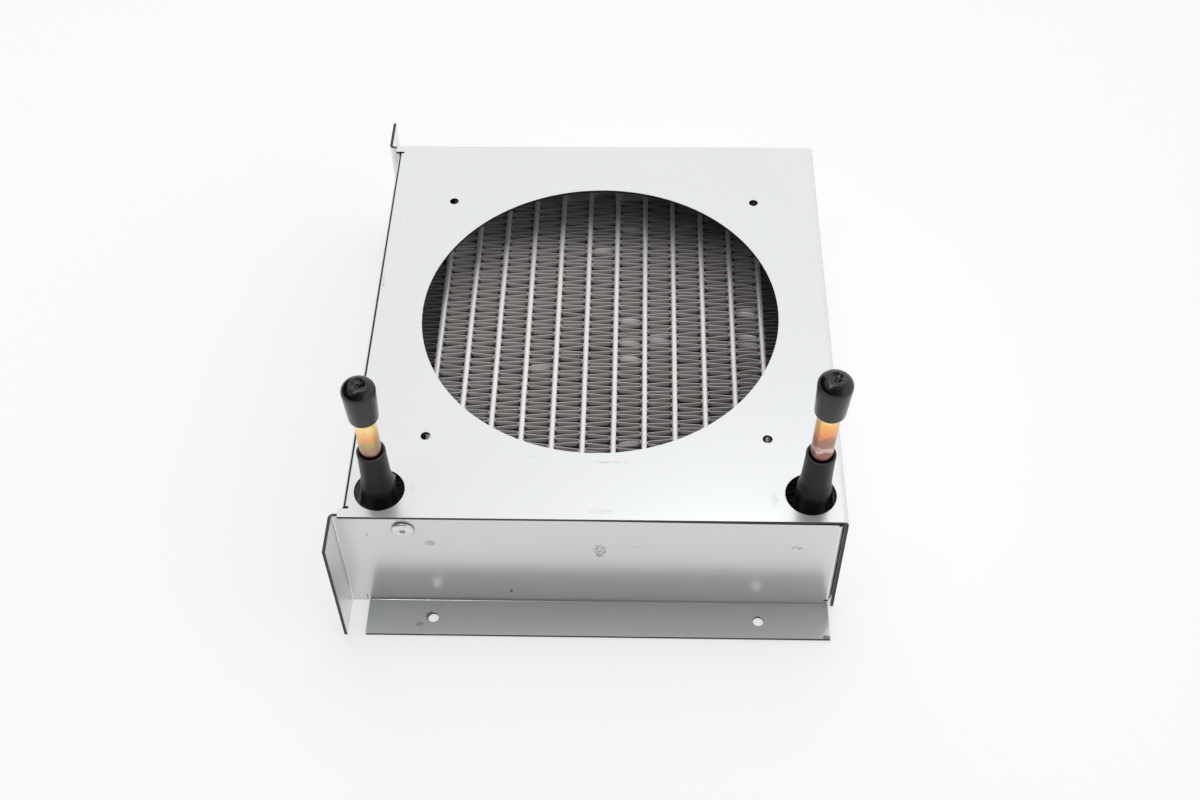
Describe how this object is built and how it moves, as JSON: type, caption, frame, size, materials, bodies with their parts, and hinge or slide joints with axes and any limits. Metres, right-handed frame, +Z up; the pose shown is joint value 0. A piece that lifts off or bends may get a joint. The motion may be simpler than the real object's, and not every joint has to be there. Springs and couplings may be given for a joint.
{
  "type": "refrigeration condenser",
  "caption": "Compact air-cooled condenser: serpentine flat-tube and fin core in a steel fan shroud, with end brackets and capped copper pipe stubs.",
  "frame": {"origin": "centre of the four base holes, on the plane the part stands on", "axes": "+Z up out of the fan face, +Y away from the two pipe stubs along the tube runs, +X across the runs"},
  "size_m": [0.1535, 0.19, 0.0996],
  "materials": {
    "zinc_steel": "zinc-coated sheet, matte to satin",
    "aluminium_rivet": "bright",
    "aluminium_tube": "brazed mill finish",
    "aluminium_fin": "dull brazed foil",
    "copper": "bare copper, heat-tinted",
    "brazing_alloy": "dull",
    "shrink_sleeve": "matte polyolefin",
    "vinyl_cap": "glossy dipped vinyl"
  },
  "bodies": {
    "condenser": {"shroud": "zinc_steel", "front_bracket": "zinc_steel", "rear_bracket": "zinc_steel", "front_rivet": "aluminium_rivet", "rear_rivet": "aluminium_rivet", "serpentine_tube": "aluminium_tube", "fin_strip_01": "aluminium_fin", "fin_strip_02": "aluminium_fin", "fin_strip_03": "aluminium_fin", "fin_strip_04": "aluminium_fin", "fin_strip_05": "aluminium_fin", "fin_strip_06": "aluminium_fin", "fin_strip_07": "aluminium_fin", "fin_strip_08": "aluminium_fin", "fin_strip_09": "aluminium_fin", "fin_strip_10": "aluminium_fin", "fin_strip_11": "aluminium_fin", "fin_strip_12": "aluminium_fin", "fin_strip_13": "aluminium_fin", "fin_strip_14": "aluminium_fin", "fin_strip_15": "aluminium_fin", "left_side_plate": "aluminium_tube", "right_side_plate": "aluminium_tube", "left_header": "aluminium_tube", "left_header_plug": "aluminium_tube", "left_copper_stub": "copper", "left_braze_joint": "brazing_alloy", "left_sleeve": "shrink_sleeve", "right_header": "aluminium_tube", "right_header_plug": "aluminium_tube", "right_copper_stub": "copper", "right_braze_joint": "brazing_alloy", "right_sleeve": "shrink_sleeve"},
    "left_cap": {"left_cap": "vinyl_cap"},
    "right_cap": {"right_cap": "vinyl_cap"}
  },
  "joints": [
    {"name": "left_cap_pull", "type": "slide", "parent": "condenser", "child": "left_cap", "axis": [0, 0, 1], "range_m": [0, 0.02]},
    {"name": "right_cap_pull", "type": "slide", "parent": "condenser", "child": "right_cap", "axis": [0.0288, 0, 0.9996], "range_m": [0, 0.02]}
  ]
}
